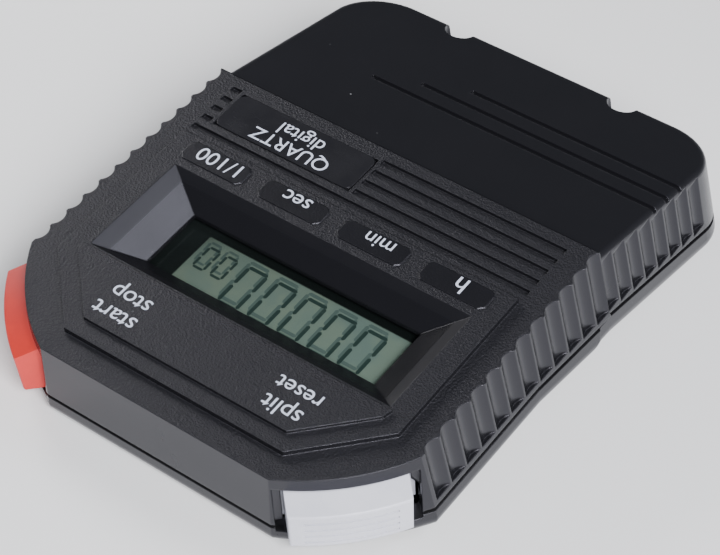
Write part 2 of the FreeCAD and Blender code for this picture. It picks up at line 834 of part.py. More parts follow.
def joint_curve(line_top, line_foot, back=0):
    """The curved joint between base and cover, from the parting line down."""
    top = -(joint_top + back)
    middle = -(joint_middle + joint_belly + back)
    foot = -(joint_foot + back)
    upper_z = on_line(line_top, top)
    lower_z = on_line(line_foot, foot)
    return [(top, upper_z), (middle, upper_z + (lower_z - upper_z) * 0.5), (foot, lower_z)]


def underside_edges(line, skip_y):
    """Edges where the underside meets the outer walls."""
    def wanted(edge):
        centre = edge.CenterOfMass
        if not -(ring_length.value + far) < centre.y < above:
            return False
        level = on_line(line, centre.y).value
        crossing = edge.BoundBox.YLength < 0.05 and edge.BoundBox.XLength > 40
        on_skipped = crossing and any(abs(centre.y - y) < 0.6 for y in skip_y)
        return abs(centre.z - level) < 0.05 and not on_skipped
    return wanted


def base_shell():
    joint = joint_curve(parting(parting_gap), underside())
    top = [(above, -(front_wall + parting_gap)), (-knee_run, -(knee_wall + parting_gap))]
    foot = [(-knee_run, -knee_depth), (above, -front_depth)]
    outer = shared("baseOuter", face_blank("baseBlank"), across("baseBand", top + joint + foot, 2 * far))
    outer = rounded("baseRounded", outer, base_round,
                    underside_edges(underside(), [-knee_run.value, -joint_foot.value]))
    lip_end = -(joint_foot - 1)
    lip_top = parting(-lip_height)
    lip = shared("baseLip", face_blank("baseLipBlank", wall + fit_gap),
                 side_band("baseLipBand", [(above, -(front_wall - lip_height)),
                                           (-knee_run, -(knee_wall - lip_height)),
                                           (lip_end, on_line(lip_top, lip_end))],
                           [(above, -(front_depth - 1)), (-knee_run, -(knee_depth - 1)),
                            (lip_end, on_line(underside(-1), lip_end))]))
    floor_line = underside(-base_floor)
    hollow_end = -(joint_foot - wall)
    hollow = shared("baseHollow",
                    face_blank("baseHollowBlank", wall + fit_gap + lip_thick, 0, reach + 2),
                    side_band("baseHollowBand", [(above, above), (hollow_end, above)],
                              [(above, -(front_depth - base_floor)),
                               (-knee_run, -(knee_depth - base_floor)),
                               (hollow_end, on_line(floor_line, hollow_end))]))
    tray = cut("baseTray", join("baseFull", outer, lip), hollow)
    pillars = []
    holes = []
    for name, x, y in screw_spots:
        foot = on_line(underside(), y)
        pillars.append(rod("pillar" + name, boss_radius, -(boss_foot + boss_gap) - foot - overlap,
                           x, y, foot + overlap))
        holes.append(rod("screwHole" + name, screw_radius + screw_gap, knee_depth, x, y, foot - 2))
        holes.append(rod("headSeat" + name, screw_head + fit_gap, head_sunk + head_height + 2,
                         x, y, foot - 2))
    for name, sign in (("Left", -1), ("Right", 1)):
        holes.append(box("leadNotch" + name, ordered(sign * (lead_x - lead_radius - fit_gap),
                                                     sign * (lead_x + lead_radius + fit_gap)),
                         (-ring_length, -board_far), (lead_z - lead_radius - fit_gap, 0)))
    for side in (1, -1):
        pocket = middle_box("flangePocket%d" % (side + 2), flange_width + 2 * button_gap,
                            (-(button_inner + flange_thick + travel + button_gap), -1),
                            (-(button_foot + button_gap), 0))
        holes.append(in_corner_frame(group("flangeClear%d" % (side + 2), pocket), side))
        holes.append(button_channel("baseChannel%d" % (side + 2), side))
    body = cut("baseShell", join("baseFilled", tray, *pillars), *holes)
    return finish("base_shell", body)


def battery_cover():
    joint = joint_curve(parting(parting_gap), underside(), joint_gap)
    end = -(ring_length + far)
    side = joint[::-1] + [(-ring_length, -(bend_wall + parting_gap)),
                          (end, falling(bend_wall + parting_gap, far)),
                          (end, falling(bend_depth, far)), (-ring_length, -bend_depth)]
    outer = shared("coverOuter", deck_blank("coverBlank", 0, 0, reach, cover_blank_start),
                   across("coverBand", side, 2 * far))
    outer = rounded("coverRounded", outer, base_round,
                    underside_edges(underside(), [-ring_length.value,
                                                  -(joint_foot.value + joint_gap.value)]))
    hollow = shared("coverHollow",
                    deck_blank("coverHollowBlank", wall, 0, reach + 2, cover_blank_start + 2),
                    side_band("coverHollowBand", [(above, above), (end, above)],
                              [(above, -(knee_depth - cover_floor)),
                               (-knee_run, -(knee_depth - cover_floor)),
                               (-ring_length, -(bend_depth - cover_floor)),
                               (end, falling(bend_depth - cover_floor, far))]))
    tray = cut("coverTray", outer, hollow)
    tongues = []
    for name, sign in (("Left", -1), ("Right", 1)):
        rail_face = deck_half - rail_inset + rail_thick
        tongues.append(box("tongue" + name,
                           ordered(sign * (rail_face - tongue), sign * (deck_half + tongue_root)),
                           (-(deck_length - rail_end - 1), -(rail_start + 1)),
                           (-(tongue_drop + tongue_thick), -tongue_drop)))
    grips = []
    for i in range(thumb_count):
        run = thumb_first + thumb_pitch * i
        grips.append(middle_box("thumbGroove%d" % (i + 1), thumb_width,
                                (-(run + groove_width), -run), (-far, -(cover_skin - thumb_cut))))
    body = cut("coverShell", join("coverFull", tray, in_deck_frame(join("tongues", *tongues))),
               in_deck_frame(join("thumbGrooves", *grips)))
    return finish("battery_cover", body)


# Buttons

def button(label, side):
    bottom_radius = corner_radius + button_stand - button_taper
    outer_radius = corner_radius + button_stand
    name = label.replace("_", "")
    skirt_height = button_foot - button_top - button_bevel
    skirt = doc.addObject("Part::Cone", name + "Skirt")
    bind(skirt, Radius1=bottom_radius, Radius2=outer_radius, Height=skirt_height)
    place(skirt, 0, -corner_radius, -button_foot)
    bevel = doc.addObject("Part::Cone", name + "Bevel")
    bind(bevel, Radius1=outer_radius, Radius2=corner_radius + bevel_stand, Height=button_bevel)
    place(bevel, 0, -corner_radius, -(button_top + button_bevel))
    block = middle_box(name + "Block", button_width, (-button_inner, button_stand + 1),
                       (-button_foot, -button_top))
    cap = shared(name + "Cap", join(name + "Form", skirt, bevel), block)
    cap = rounded(name + "Rounded", cap, button_round, on_button_edge)
    rings = []
    for i in range(grip_count):
        level = grip_first + grip_pitch * i
        share = (level - button_top - button_bevel) / skirt_height
        strip = middle_box(name + "Strip%d" % i, grip_span, (button_stand - 2.5, button_stand + 1),
                           (-(level + grip_width), -level))
        core = rod(name + "Core%d" % i, outer_radius - button_taper * share - grip_cut, reach, 0,
                   -corner_radius, -(button_foot + above))
        rings.append(cut(name + "Grip%d" % i, strip, core))
    flange = middle_box(name + "Flange", flange_width,
                        (-(button_inner + flange_thick), -(button_inner - overlap)),
                        (-button_foot, -(button_top + flange_drop)))
    stem = rod(name + "Stem", stem_radius, switch_face - plunger_reach - button_inner, 0,
               -(switch_face - plunger_reach), -stem_level, along_y)
    body = join(name + "Body", cut(name + "Gripped", cap, *rings), flange, stem)
    return finish(label, in_corner_frame(body, side))


def on_button_edge(edge):
    """The outer edges of a button cap, drawn in its corner frame."""
    return edge.CenterOfMass.y > 0.4 and not edge.BoundBox.ZMax > -button_top.value - 0.1


def switch(label, side):
    name = label.replace("_", "")
    case = middle_box(name + "Case", switch_side, (-(switch_face + switch_side), -switch_face),
                      (-board_top, -(board_top - switch_height)))
    sunk = plunger_sunk + travel + plunger_room
    bore = rod(name + "Bore", plunger_radius + fit_gap, sunk + 0.1, 0, -(switch_face + sunk),
               -stem_level, along_y)
    finish(label + "_switch", in_corner_frame(cut(name + "Body", case, bore), side))
    plunger = rod(name + "Plunger", plunger_radius, plunger_reach + plunger_sunk, 0,
                  -(switch_face + plunger_sunk), -stem_level, along_y)
    finish(label + "_plunger", in_corner_frame(group(name + "PlungerBody", plunger), side))


# Display stack, board and its components

def body_sketch(body, name, points, arcs):
    """An outline on the floor plane of a body."""
    sketch = body.newObject("Sketcher::SketchObject", name)
    floor = [f for f in body.Origin.OriginFeatures if f.Role == "XY_Plane"][0]
    sketch.AttachmentSupport = [(floor, "")]
    sketch.MapMode = "FlatFace"
    return draw(sketch, points, arcs)


def plate_body(name, points, bottom, thickness, arcs=None):
    """A flat piece made as a sketch and a pad."""
    body = doc.addObject("PartDesign::Body", name)
    sketch = body_sketch(body, name + "Outline", points, arcs or {})
    pad = body.newObject("PartDesign::Pad", name + "Pad")
    pad.Profile = sketch
    bind(pad, Length=as_size(thickness))
    place(body, 0, 0, bottom)
    return body


def pocket_body(body, name, shapes):
    """Cuts the closed outlines in shapes right through a plate."""
    for i, (points, arcs) in enumerate(shapes):
        sketch = body_sketch(body, "%s%d" % (name, i + 1), points, arcs)
        pocket = body.newObject("PartDesign::Pocket", "%s%dPocket" % (name, i + 1))
        pocket.Profile = sketch
        pocket.Type = 1
        pocket.Midplane = True
    return body


def rectangle(left, right, low, high):
    return [(left, high), (right, high), (right, low), (left, low)]


def rounded_rectangle(left, right, low, high, r):
    points = [(left + r, high), (right - r, high), (right, high - r), (right, low + r),
              (right - r, low), (left + r, low), (left, low + r), (left, high - r)]
    return points, {1: r, 3: r, 5: r, 7: r}


lens_top = -(slope_depth + opening_lip)
stack_half = opening_width / 2 + lens_margin
stack_near = opening_near - lens_margin
stack_far = opening_far + lens_margin


def display_stack():
    lens = plate_body("lens", rectangle(-stack_half, stack_half, -stack_far, -stack_near),
                      lens_top - lens_thick, lens_thick)
    finish("window_lens", group("lensPiece", lens))
    glass_top = lens_top - lens_thick
    glass = plate_body("glass", rectangle(-stack_half, stack_half, -stack_far, -stack_near),
                       glass_top - display_thick, display_thick)
    finish("lcd_panel", group("glassPiece", glass))
    mirror_top = glass_top - display_thick
    ledge = strip_thick + strip_gap
    mirror_half = stack_half - mirror_inset
    mirror = plate_body("mirror", rectangle(-mirror_half, mirror_half,
                                            -(stack_far - ledge), -(stack_near + ledge)),
                        mirror_top - reflector_thick, reflector_thick)
    finish("lcd_reflector", group("mirrorPiece", mirror))
    outer = stack_half + fit_gap + holder_wall
    frame = middle_box("holderFrame", outer * 2,
                       (-(stack_far + fit_gap + holder_wall), -(stack_near - fit_gap - holder_wall)),
                       (-board_top, glass_top - holder_gap))
    inside = middle_box("holderInside", (stack_half + fit_gap) * 2,
                        (-(stack_far + fit_gap), -(stack_near - fit_gap)), (-(board_top + 1), 0))
    shelf_top = mirror_top - reflector_thick
    shelf = middle_box("holderShelf", (stack_half + fit_gap + 0.2) * 2,
                       (-(stack_far - ledge), -(stack_near + ledge)), (-board_top, shelf_top))
    finish("lcd_holder", join("holder", cut("holderRing", frame, inside), shelf))
    strips = []
    for name, near_y in (("Near", stack_near + fit_gap), ("Far", stack_far - fit_gap - strip_thick)):
        strips.append(middle_box("strip" + name, opening_width,
                                 (-(near_y + strip_thick), -near_y), (-board_top, mirror_top)))
    finish("contact_strips", group("contactStrips", *strips))


def board():
    shoulder = board_half - board_corner
    corner_y = -(board_near + board_corner)
    points = [(-shoulder, -board_near), (shoulder, -board_near), (board_half, corner_y),
              (board_half, -board_far), (-board_half, -board_far), (-board_half, corner_y)]
    plate = plate_body("board", points, -under_board, board_thick)
    shapes = []
    for side in (-1, 1):
        x = side * board_hole_x
        y = -board_hole_y
        r = board_screw_radius + fit_gap
        shapes.append(([(x, y + r), (x + r, y), (x, y - r), (x - r, y)], {0: r, 1: r, 2: r, 3: r}))
    pocket_body(plate, "boardHoles", shapes)
    finish("circuit_board", group("boardPiece", plate))


def driver_slot(name, x, y, length, low, high):
    """Tool for the slot of a screw or trimmer at x, y."""
    return box(name, (x - slot_width / 2, x + slot_width / 2), (y - length / 2, y + length / 2),
               (low, high))


def board_parts():
    """What hangs under the board."""
    chip_foot = -(under_board + chip_height)
    blob = rod("blob", chip_radius, chip_height, 0, -chip_run, chip_foot)
    blob = rounded("blobDome", blob, chip_round,
                   lambda edge: abs(edge.CenterOfMass.z - chip_foot.value) < 0.01)
    finish("timer_chip", group("chipPiece", blob))
    crystal_y = crystal_end - board_far
    level = -(under_board + crystal_radius)
    can = rod("crystalCan", crystal_radius, crystal_length, crystal_start, crystal_y, level, along_x)
    pins = [rod("crystalPin%s" % name, pin_radius, pin_length + overlap, crystal_start - pin_length,
                crystal_y + y, level + crystal_radius - 2 * pin_radius, along_x)
            for name, y in (("Near", pin_spacing), ("Far", -pin_spacing))]
    finish("quartz_crystal", join("crystal", can, *pins))
    trimmer_y = trimmer_end - board_far
    trimmer_foot = -(under_board + trimmer_height)
    disc = rod("trimmerDisc", trimmer_radius, trimmer_height, -trimmer_x, trimmer_y, trimmer_foot)
    slot = driver_slot("trimmerSlot", -trimmer_x, trimmer_y, trimmer_radius * 1.5, trimmer_foot - 1,
                       trimmer_foot + slot_depth)
    finish("trimmer_capacitor", group("trimmerPiece", cut("trimmer", disc, slot)))
    chips = [box("chip%d" % i, (x, x + ceramic_length), (y, y + ceramic_width),
                 (-(under_board + ceramic_height), -under_board))
             for i, (x, y) in enumerate(ceramic_spots)]
    finish("chip_capacitors", group("chips", *chips))


def screws():
    pieces = []
    for name, x, y in screw_spots:
        low = on_line(underside(), y) + head_sunk
        head = rod("head" + name, screw_head, head_height, x, y, low)
        socket = driver_slot("socket" + name, x, y, screw_head * 1.6, low - 1, low + slot_depth)
        neck = low + head_height - overlap
        tip = -(boss_foot - pilot_depth + overlap)
        shank = rod("shank" + name, screw_radius, tip - neck, x, y, neck)
        pieces.append(join("screw" + name, cut("slotted" + name, head, socket), shank))
    finish("housing_screws", group("housingScrews", *pieces))
    small = []
    for name, x in board_screw_spots:
        head = rod("smallHead" + name, board_screw_head, board_head_height, x, -board_hole_y,
                   -(under_board + board_head_height))
        shank = rod("smallShank" + name, board_screw_radius,
                    board_thick + board_screw_reach - overlap, x, -board_hole_y, -under_board)
        small.append(join("smallScrew" + name, head, shank))
    finish("board_screws", group("boardScrews", *small))


def name_plate():
    points, arcs = rounded_rectangle(plate_left + plate_gap, plate_left + plate_width - plate_gap,
                                     -(plate_near + plate_depth - plate_gap),
                                     -(plate_near + plate_gap), plate_round)
    finish("name_plate", group("platePiece",
                               plate_body("plate", points, -plate_sink, plate_thick, arcs)))


# Battery bay, drawn in the deck frame

cell_drop = deck_roof + cell_gap + cell_radius
cell_low = cell_shift - cell_length / 2 - cell_cap_length / 2
cell_high = cell_low + cell_length
plus_face = cell_high + cell_cap_length
minus_face = cell_low - spring_length

# the leads start at the middle of the contacts' feet, turned into the face frame
foot_run = tab_end + contact_thick / 2
foot_drop = cell_drop + (tab_foot - tab_top) / 2
lead_y = foot_drop * sine - foot_run * cosine - ring_length
lead_z = -(foot_run * sine + foot_drop * cosine + deck_step)
solder_y = lead_inset - board_far
lead_ahead = solder_y - lead_y
lead_up = lead_lift - board_top - lead_z
lead_length = (lead_ahead * lead_ahead + lead_up * lead_up).root()
lead_turn = (lead_up / lead_ahead).arc_tangent() - 90


def deck_piece(label, solid):
    """A finished piece whose drawing frame is the deck's."""
    return finish(label, group(label.replace("_", "") + "Piece", solid), deck_frame)


def battery():
    can = rod("cellCan", cell_radius, cell_length, cell_low, -cell_run, -cell_drop, along_x)
    can = rounded("cellRounded", can, cell_round, lambda edge: True)
    deck_piece("battery_cell", can)
    deck_piece("battery_terminal", rod("cellCap", cell_cap_radius, cell_cap_length, cell_high,
                                       -cell_run, -cell_drop, along_x))
    room = cell_radius + cell_gap
    frame = box("cradleFrame", (minus_face - contact_thick - cradle_wall,
                                plus_face + contact_thick + cradle_wall),
                (-(cell_run + room + cradle_wall), -(cell_run - room - cradle_wall)),
                (-(cell_drop + cradle_wall), -deck_roof))
    bay = box("cradleBay", (minus_face - contact_thick, plus_face + contact_thick),
              (-(cell_run + room), -(cell_run - room)), (-far, 0))
    webs = [box("web" + name, (x - web_thick / 2, x + web_thick / 2),
                (-(cell_run + room + overlap), -(cell_run - room - overlap)), (-cell_drop, -deck_roof))
            for name, x in (("Left", cell_low + web_inset), ("Right", cell_high - web_inset))]
    tunnel = rod("webTunnel", room + fit_gap, 2 * far, -far, -cell_run, -cell_drop, along_x)
    slots = [box("tabSlot" + name, (x - 0.1, x + contact_thick + 0.1), (-cell_run, 0),
                 (-(cell_drop + 2 * cradle_wall), -(cell_drop - tab_top - 0.2)))
             for name, x in (("Left", minus_face - contact_thick), ("Right", plus_face))]
    walls = cut("cradleWalls", frame, bay, *slots)
    deck_piece("battery_cradle", join("cradle", walls, cut("cradleWebs", join("webs", *webs), tunnel)))
    for label, x in (("plus_contact", plus_face), ("minus_contact", minus_face - contact_thick)):
        name = label.replace("_", "")
        levels = (-(cell_drop + tab_foot), -(cell_drop - tab_top))
        blade_side = cell_run - contact_width / 2
        blade = box(name + "Blade", (x, x + contact_thick), (-(cell_run + contact_width / 2), -blade_side),
                    (-(cell_drop + contact_height / 2), -(cell_drop - contact_height / 2)))
        tab = box(name + "Tab", (x, x + contact_thick), (-(blade_side + overlap), -tab_end), levels)
        sign = 1 if x.value > 0 else -1
        foot = box(name + "Foot", ordered(sign * (lead_x - lead_radius * 2), x + contact_thick / 2),
                   (-(tab_end + contact_thick), -tab_end), levels)
        plate = in_deck_frame(join(name + "Plate", blade, tab, foot))
        lead = rod(name + "Lead", lead_radius, lead_length, sign * lead_x, lead_y, lead_z,
                   FreeCAD.Rotation(Vector(1, 0, 0), lead_turn.value))
        lead.setExpression("Placement.Rotation.Angle", lead_turn.text)
        blob = rod(name + "Solder", lead_radius * 2, lead_radius * 2, sign * lead_x, solder_y, -board_top)
        finish(label, join(name + "Joined", plate, lead, blob))
    leaf = [(minus_face, leaf_half - cell_run), (cell_low, leaf_tip - cell_run),
            (cell_low, -(cell_run + leaf_tip)), (minus_face, -(cell_run + leaf_half)),
            (minus_face, leaf_thick - leaf_half - cell_run), (cell_low - leaf_thick, -cell_run),
            (minus_face, leaf_half - leaf_thick - cell_run)]
    deck_piece("battery_spring", slab("leafSpring", leaf, -(cell_drop + leaf_width / 2),
                                      -(cell_drop - leaf_width / 2)))
    bar = rod("lanyardBar", bar_radius, bar_length, -bar_length / 2, -(deck_length - bar_inset),
              -bar_drop, along_x)
    deck_piece("lanyard_bar", bar)


upper_shell()
base_shell()
battery_cover()
button("start_stop_button", 1)
button("split_reset_button", -1)
switch("start_stop", 1)
switch("split_reset", -1)
display_stack()
board()
board_parts()
screws()
name_plate()
battery()

# Check, stand on the underside, write

doc.recompute()
for feature in doc.Objects:
    if "Invalid" in feature.State or "Error" in feature.State:
        raise RuntimeError("%s failed: %s" % (feature.Name, feature.State))
for solid, frame in subparts:
    if solid.Shape.isNull() or not solid.Shape.isValid():
        raise RuntimeError("%s has no valid shape" % solid.Label)


def tipped_boxes(pieces, angle):
    """Tight boxes of the pieces when the face is tipped by the angle."""
    tip = FreeCAD.Placement(Vector(), FreeCAD.Rotation(Vector(1, 0, 0), -angle))
    boxes = {}
    for solid, frame in pieces:
        shape = solid.Shape.copy()
        shape.Placement = tip * frame * solid.Placement
        boxes[solid.Label] = shape.optimalBoundingBox(False)
    return boxes


# the angle at which the front of the base and the end of the cover touch the table together
feet = [(solid, frame) for solid, frame in subparts if solid.Label in ("base_shell", "battery_cover")]
low_angle, high_angle = 0.0, bend.value
while high_angle - low_angle > 0.005:
    rest_angle = (low_angle + high_angle) / 2
    boxes = tipped_boxes(feet, rest_angle)
    if boxes["base_shell"].ZMin > boxes["battery_cover"].ZMin:
        low_angle = rest_angle
    else:
        high_angle = rest_angle
boxes = tipped_boxes(subparts, rest_angle).values()
middle_y = (max(b.YMax for b in boxes) + min(b.YMin for b in boxes)) / 2
stand = FreeCAD.Placement(Vector(0, -middle_y, -min(b.ZMin for b in boxes)),
                          FreeCAD.Rotation(Vector(1, 0, 0), -rest_angle))
print("rests tipped by %.4f degrees, moved to" % rest_angle, stand.Base)

os.makedirs("parts", exist_ok=True)
for solid, frame in subparts:
    local = solid.Placement
    for path in ("Placement.Base.x", "Placement.Base.y", "Placement.Base.z"):
        solid.setExpression(path, None)
    solid.Placement = stand * frame * local
    solid.Shape.exportStep("parts/%s.step" % solid.Label)
print(len(subparts), "pieces written")
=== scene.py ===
import math

import bmesh
import bpy
from mathutils import Matrix, Vector


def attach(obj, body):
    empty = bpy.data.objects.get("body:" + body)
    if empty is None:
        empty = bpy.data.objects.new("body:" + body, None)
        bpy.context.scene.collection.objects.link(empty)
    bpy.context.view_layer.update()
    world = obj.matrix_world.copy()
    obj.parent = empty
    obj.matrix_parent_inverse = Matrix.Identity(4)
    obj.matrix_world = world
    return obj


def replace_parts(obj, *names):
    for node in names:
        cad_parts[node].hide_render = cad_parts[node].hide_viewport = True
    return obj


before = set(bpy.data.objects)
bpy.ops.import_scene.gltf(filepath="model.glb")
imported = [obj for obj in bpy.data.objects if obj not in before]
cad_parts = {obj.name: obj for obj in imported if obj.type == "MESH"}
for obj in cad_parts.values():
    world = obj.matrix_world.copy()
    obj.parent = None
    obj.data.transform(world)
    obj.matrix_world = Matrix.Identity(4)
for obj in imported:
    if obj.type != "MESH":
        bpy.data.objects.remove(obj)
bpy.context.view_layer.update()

# the face plane is drawn flat in millimetres, then tipped and lifted as the housing stands
stance = {"tip": 7.6004, "moveY": 44.5636, "moveZ": 12.1328}  # degrees, millimetres
millimetre = 0.001
faceTip = math.radians(-stance["tip"])
faceOrigin = (0, stance["moveY"] / 1000, stance["moveZ"] / 1000)
faceTurn = Matrix.Rotation(faceTip, 4, "X")
faceFrame = Matrix.Translation(faceOrigin) @ faceTurn @ Matrix.Scale(millimetre, 4)
faceUp = tuple(faceTurn.to_3x3() @ Vector((0, 0, 1)))


def newNode(tree, kind, settings, inputs):
    # settings are set first, then each socket gets a value or a link
    node = tree.nodes.new(kind)
    for key, value in (settings or {}).items():
        setattr(node, key, value)
    for key, value in (inputs or {}).items():
        if isinstance(value, bpy.types.NodeSocket):
            tree.links.new(value, node.inputs[key])
        else:
            node.inputs[key].default_value = value
    return node


class Wire:
    # a node's output that can be used in arithmetic
    def __init__(self, shader, socket):
        self.shader = shader
        self.socket = socket

    def calc(self, operation, *values):
        return self.shader.add("ShaderNodeMath", {"operation": operation}, dict(enumerate(values)))

    def __add__(self, other):
        return self.calc("ADD", self, other)

    def __radd__(self, other):
        return self.calc("ADD", other, self)

    def __sub__(self, other):
        return self.calc("SUBTRACT", self, other)

    def __rsub__(self, other):
        return self.calc("SUBTRACT", other, self)

    def __mul__(self, other):
        return self.calc("MULTIPLY", self, other)

    def __rmul__(self, other):
        return self.calc("MULTIPLY", other, self)

    def most(self, other):
        return self.calc("MAXIMUM", self, other)

    def absolute(self):
        return self.calc("ABSOLUTE", self)

    def rise(self, low, high):
        # 0 below low, 1 above high, smooth between; falls if low is above high
        return self.shader.add("ShaderNodeMapRange", {"interpolation_type": "SMOOTHSTEP"},
                               {"Value": self, "From Min": low, "From Max": high})

    def within(self, low, high, edge):
        return self.rise(low - edge, low + edge) * (1 - self.rise(high - edge, high + edge))

    def out(self, name):
        return Wire(self.shader, self.socket.node.outputs[name])


class Shader:
    def __init__(self, name):
        self.material = bpy.data.materials.new(name)
        self.material.use_nodes = True
        self.tree = self.material.node_tree
        self.tree.nodes.clear()

    def add(self, kind, settings=None, inputs=None, output=0):
        plain = {key: value.socket if isinstance(value, Wire) else value
                 for key, value in (inputs or {}).items()}
        node = newNode(self.tree, kind, settings, plain)
        return Wire(self, node.outputs[output]) if len(node.outputs) else None

    def place(self):
        return self.add("ShaderNodeTexCoord", output="Object")

    def faceSpot(self):
        # object space turned back to the flat face, in millimetres
        return self.add("ShaderNodeMapping", {"vector_type": "TEXTURE"},
                        {"Vector": self.place(), "Location": faceOrigin, "Rotation": (faceTip, 0, 0),
                         "Scale": (millimetre, millimetre, millimetre)})

    def stretch(self, vector, scale):
        return self.add("ShaderNodeMapping", {}, {"Vector": vector, "Scale": scale})

    def parts(self, vector):
        x = self.add("ShaderNodeSeparateXYZ", {}, {0: vector})
        return x, x.out("Y"), x.out("Z")

    def facing(self, direction):
        normal = self.add("ShaderNodeTexCoord", output="Normal")
        return self.add("ShaderNodeVectorMath", {"operation": "DOT_PRODUCT"},
                        {0: normal, 1: direction}, "Value")

    def noise(self, vector, scale, detail=3.0, rough=0.5):
        return self.add("ShaderNodeTexNoise", {},
                        {"Vector": vector, "Scale": scale, "Detail": detail, "Roughness": rough})

    def cells(self, vector, scale):
        return self.add("ShaderNodeTexVoronoi", {}, {"Vector": vector, "Scale": scale}, "Distance")

    def mix(self, share, one, other):
        # sockets 6, 7 and output 2 are the colour ones
        return self.add("ShaderNodeMix", {"data_type": "RGBA"}, {0: share, 6: one, 7: other}, 2)

    def bump(self, height, strength, distance, edge=0):
        # edge is the radius of the softened edges, in metres
        inputs = {"Height": height, "Strength": strength, "Distance": distance}
        if edge:
            inputs["Normal"] = self.add("ShaderNodeBevel", {"samples": 6}, {"Radius": edge})
        return self.add("ShaderNodeBump", {}, inputs)

    def skin(self, **values):
        named = {key.replace("_", " "): value for key, value in values.items()}
        return self.add("ShaderNodeBsdfPrincipled", {}, named)

    def done(self, surface):
        self.add("ShaderNodeOutputMaterial", {}, {"Surface": surface})
        return self.material


def tone(red, green, blue):
    return (red, green, blue, 1.0)


# the finishes: spans are in face millimetres, edges and depths in metres
shellLook = {
    "black": tone(0.0070, 0.0070, 0.0085), "grey": tone(0.0080, 0.0080, 0.0098), "leastGrey": 0.35,
    "dust": tone(0.42, 0.42, 0.44), "dustShare": 0.55, "tint": tone(0.90, 0.89, 1.0),
    "grainSize": 3.4, "fineSize": 3.1, "pitSize": 0.9, "grainMix": (0.6, 0.25, 0.35), "grainDepth": 0.00017,
    "plainGrain": 0.05, "padSmooth": 0.75, "edge": 0.00025,
    "grainRough": 0.42, "padRough": 0.28, "deckRough": 0.36, "wallRough": 0.25,
    "cloudRough": 0.09, "smearRough": 0.06, "fineRough": 0.07,
    "faceTilt": (0.93, 0.985), "faceEnd": (-52.9, -52.7), "faceFloor": (-0.9, -0.5),
    "padFoot": (0.85, 0.92), "padHead": (1.2, 1.05), "wallTilt": (0.35, 0.7),
    "recessTop": (-0.35, -0.6), "recessSpan": (-34.9, -15.9, 0.1), "recessHalf": (25.0, 24.6)}
plasticIndex = 1.5  # index of refraction of all the plastics


def shellPlastic():
    # spark-eroded grain on the face, satin deck, glossier walls and recess
    s = Shader("shellPlastic")
    look = shellLook
    spot = s.faceSpot()
    x, y, z = s.parts(spot)
    up = s.facing(faceUp)
    onFace = up.rise(*look["faceTilt"]) * y.rise(*look["faceEnd"]) * z.rise(*look["faceFloor"])
    onPad = z.rise(*look["padFoot"]) * z.rise(*look["padHead"])
    recessWide = x.absolute().rise(*look["recessHalf"])
    inRecess = z.rise(*look["recessTop"]) * y.within(*look["recessSpan"]) * recessWide
    walls = 1 - up.rise(*look["wallTilt"])
    coarse = s.noise(spot, look["grainSize"], 4.0, 0.62)
    fine = s.noise(spot, look["grainSize"] * look["fineSize"], 2.0, 0.5)
    pits = s.cells(spot, look["grainSize"] * look["pitSize"])
    cloud = s.noise(spot, 0.11, 3.0)
    smear = s.noise(s.stretch(spot, (0.5, 0.06, 0.5)), 1.0, 4.0)
    speck = s.cells(spot, 0.24).rise(0.055, 0.03) * s.noise(spot, 0.35).rise(0.55, 0.62)
    coarseShare, fineShare, pitShare = look["grainMix"]
    grain = coarse * coarseShare + fine * fineShare + pits * pitShare
    grained = onFace * (1 - onPad * look["padSmooth"])
    greyShare = grained * (look["leastGrey"] + coarse * (1 - look["leastGrey"]))
    colour = s.mix(greyShare, look["black"], look["grey"])
    colour = s.mix(speck * look["dustShare"] * up.rise(0.5, 0.9), colour, look["dust"])
    rough = look["deckRough"] + (look["wallRough"] - look["deckRough"]) * walls.most(inRecess)
    rough = rough + grained * (look["grainRough"] - look["deckRough"])
    rough = rough + (cloud - 0.5) * look["cloudRough"] + (smear - 0.5) * look["smearRough"]
    rough = rough + onFace * onPad * (look["padRough"] - look["deckRough"])
    rough = rough + fine * grained * look["fineRough"]
    height = grain * grained + fine * look["plainGrain"] * (1 - grained)
    return s.done(s.skin(Base_Color=colour, Roughness=rough, IOR=plasticIndex, Specular_Tint=look["tint"],
                         Normal=s.bump(height, 1.0, look["grainDepth"], look["edge"])))


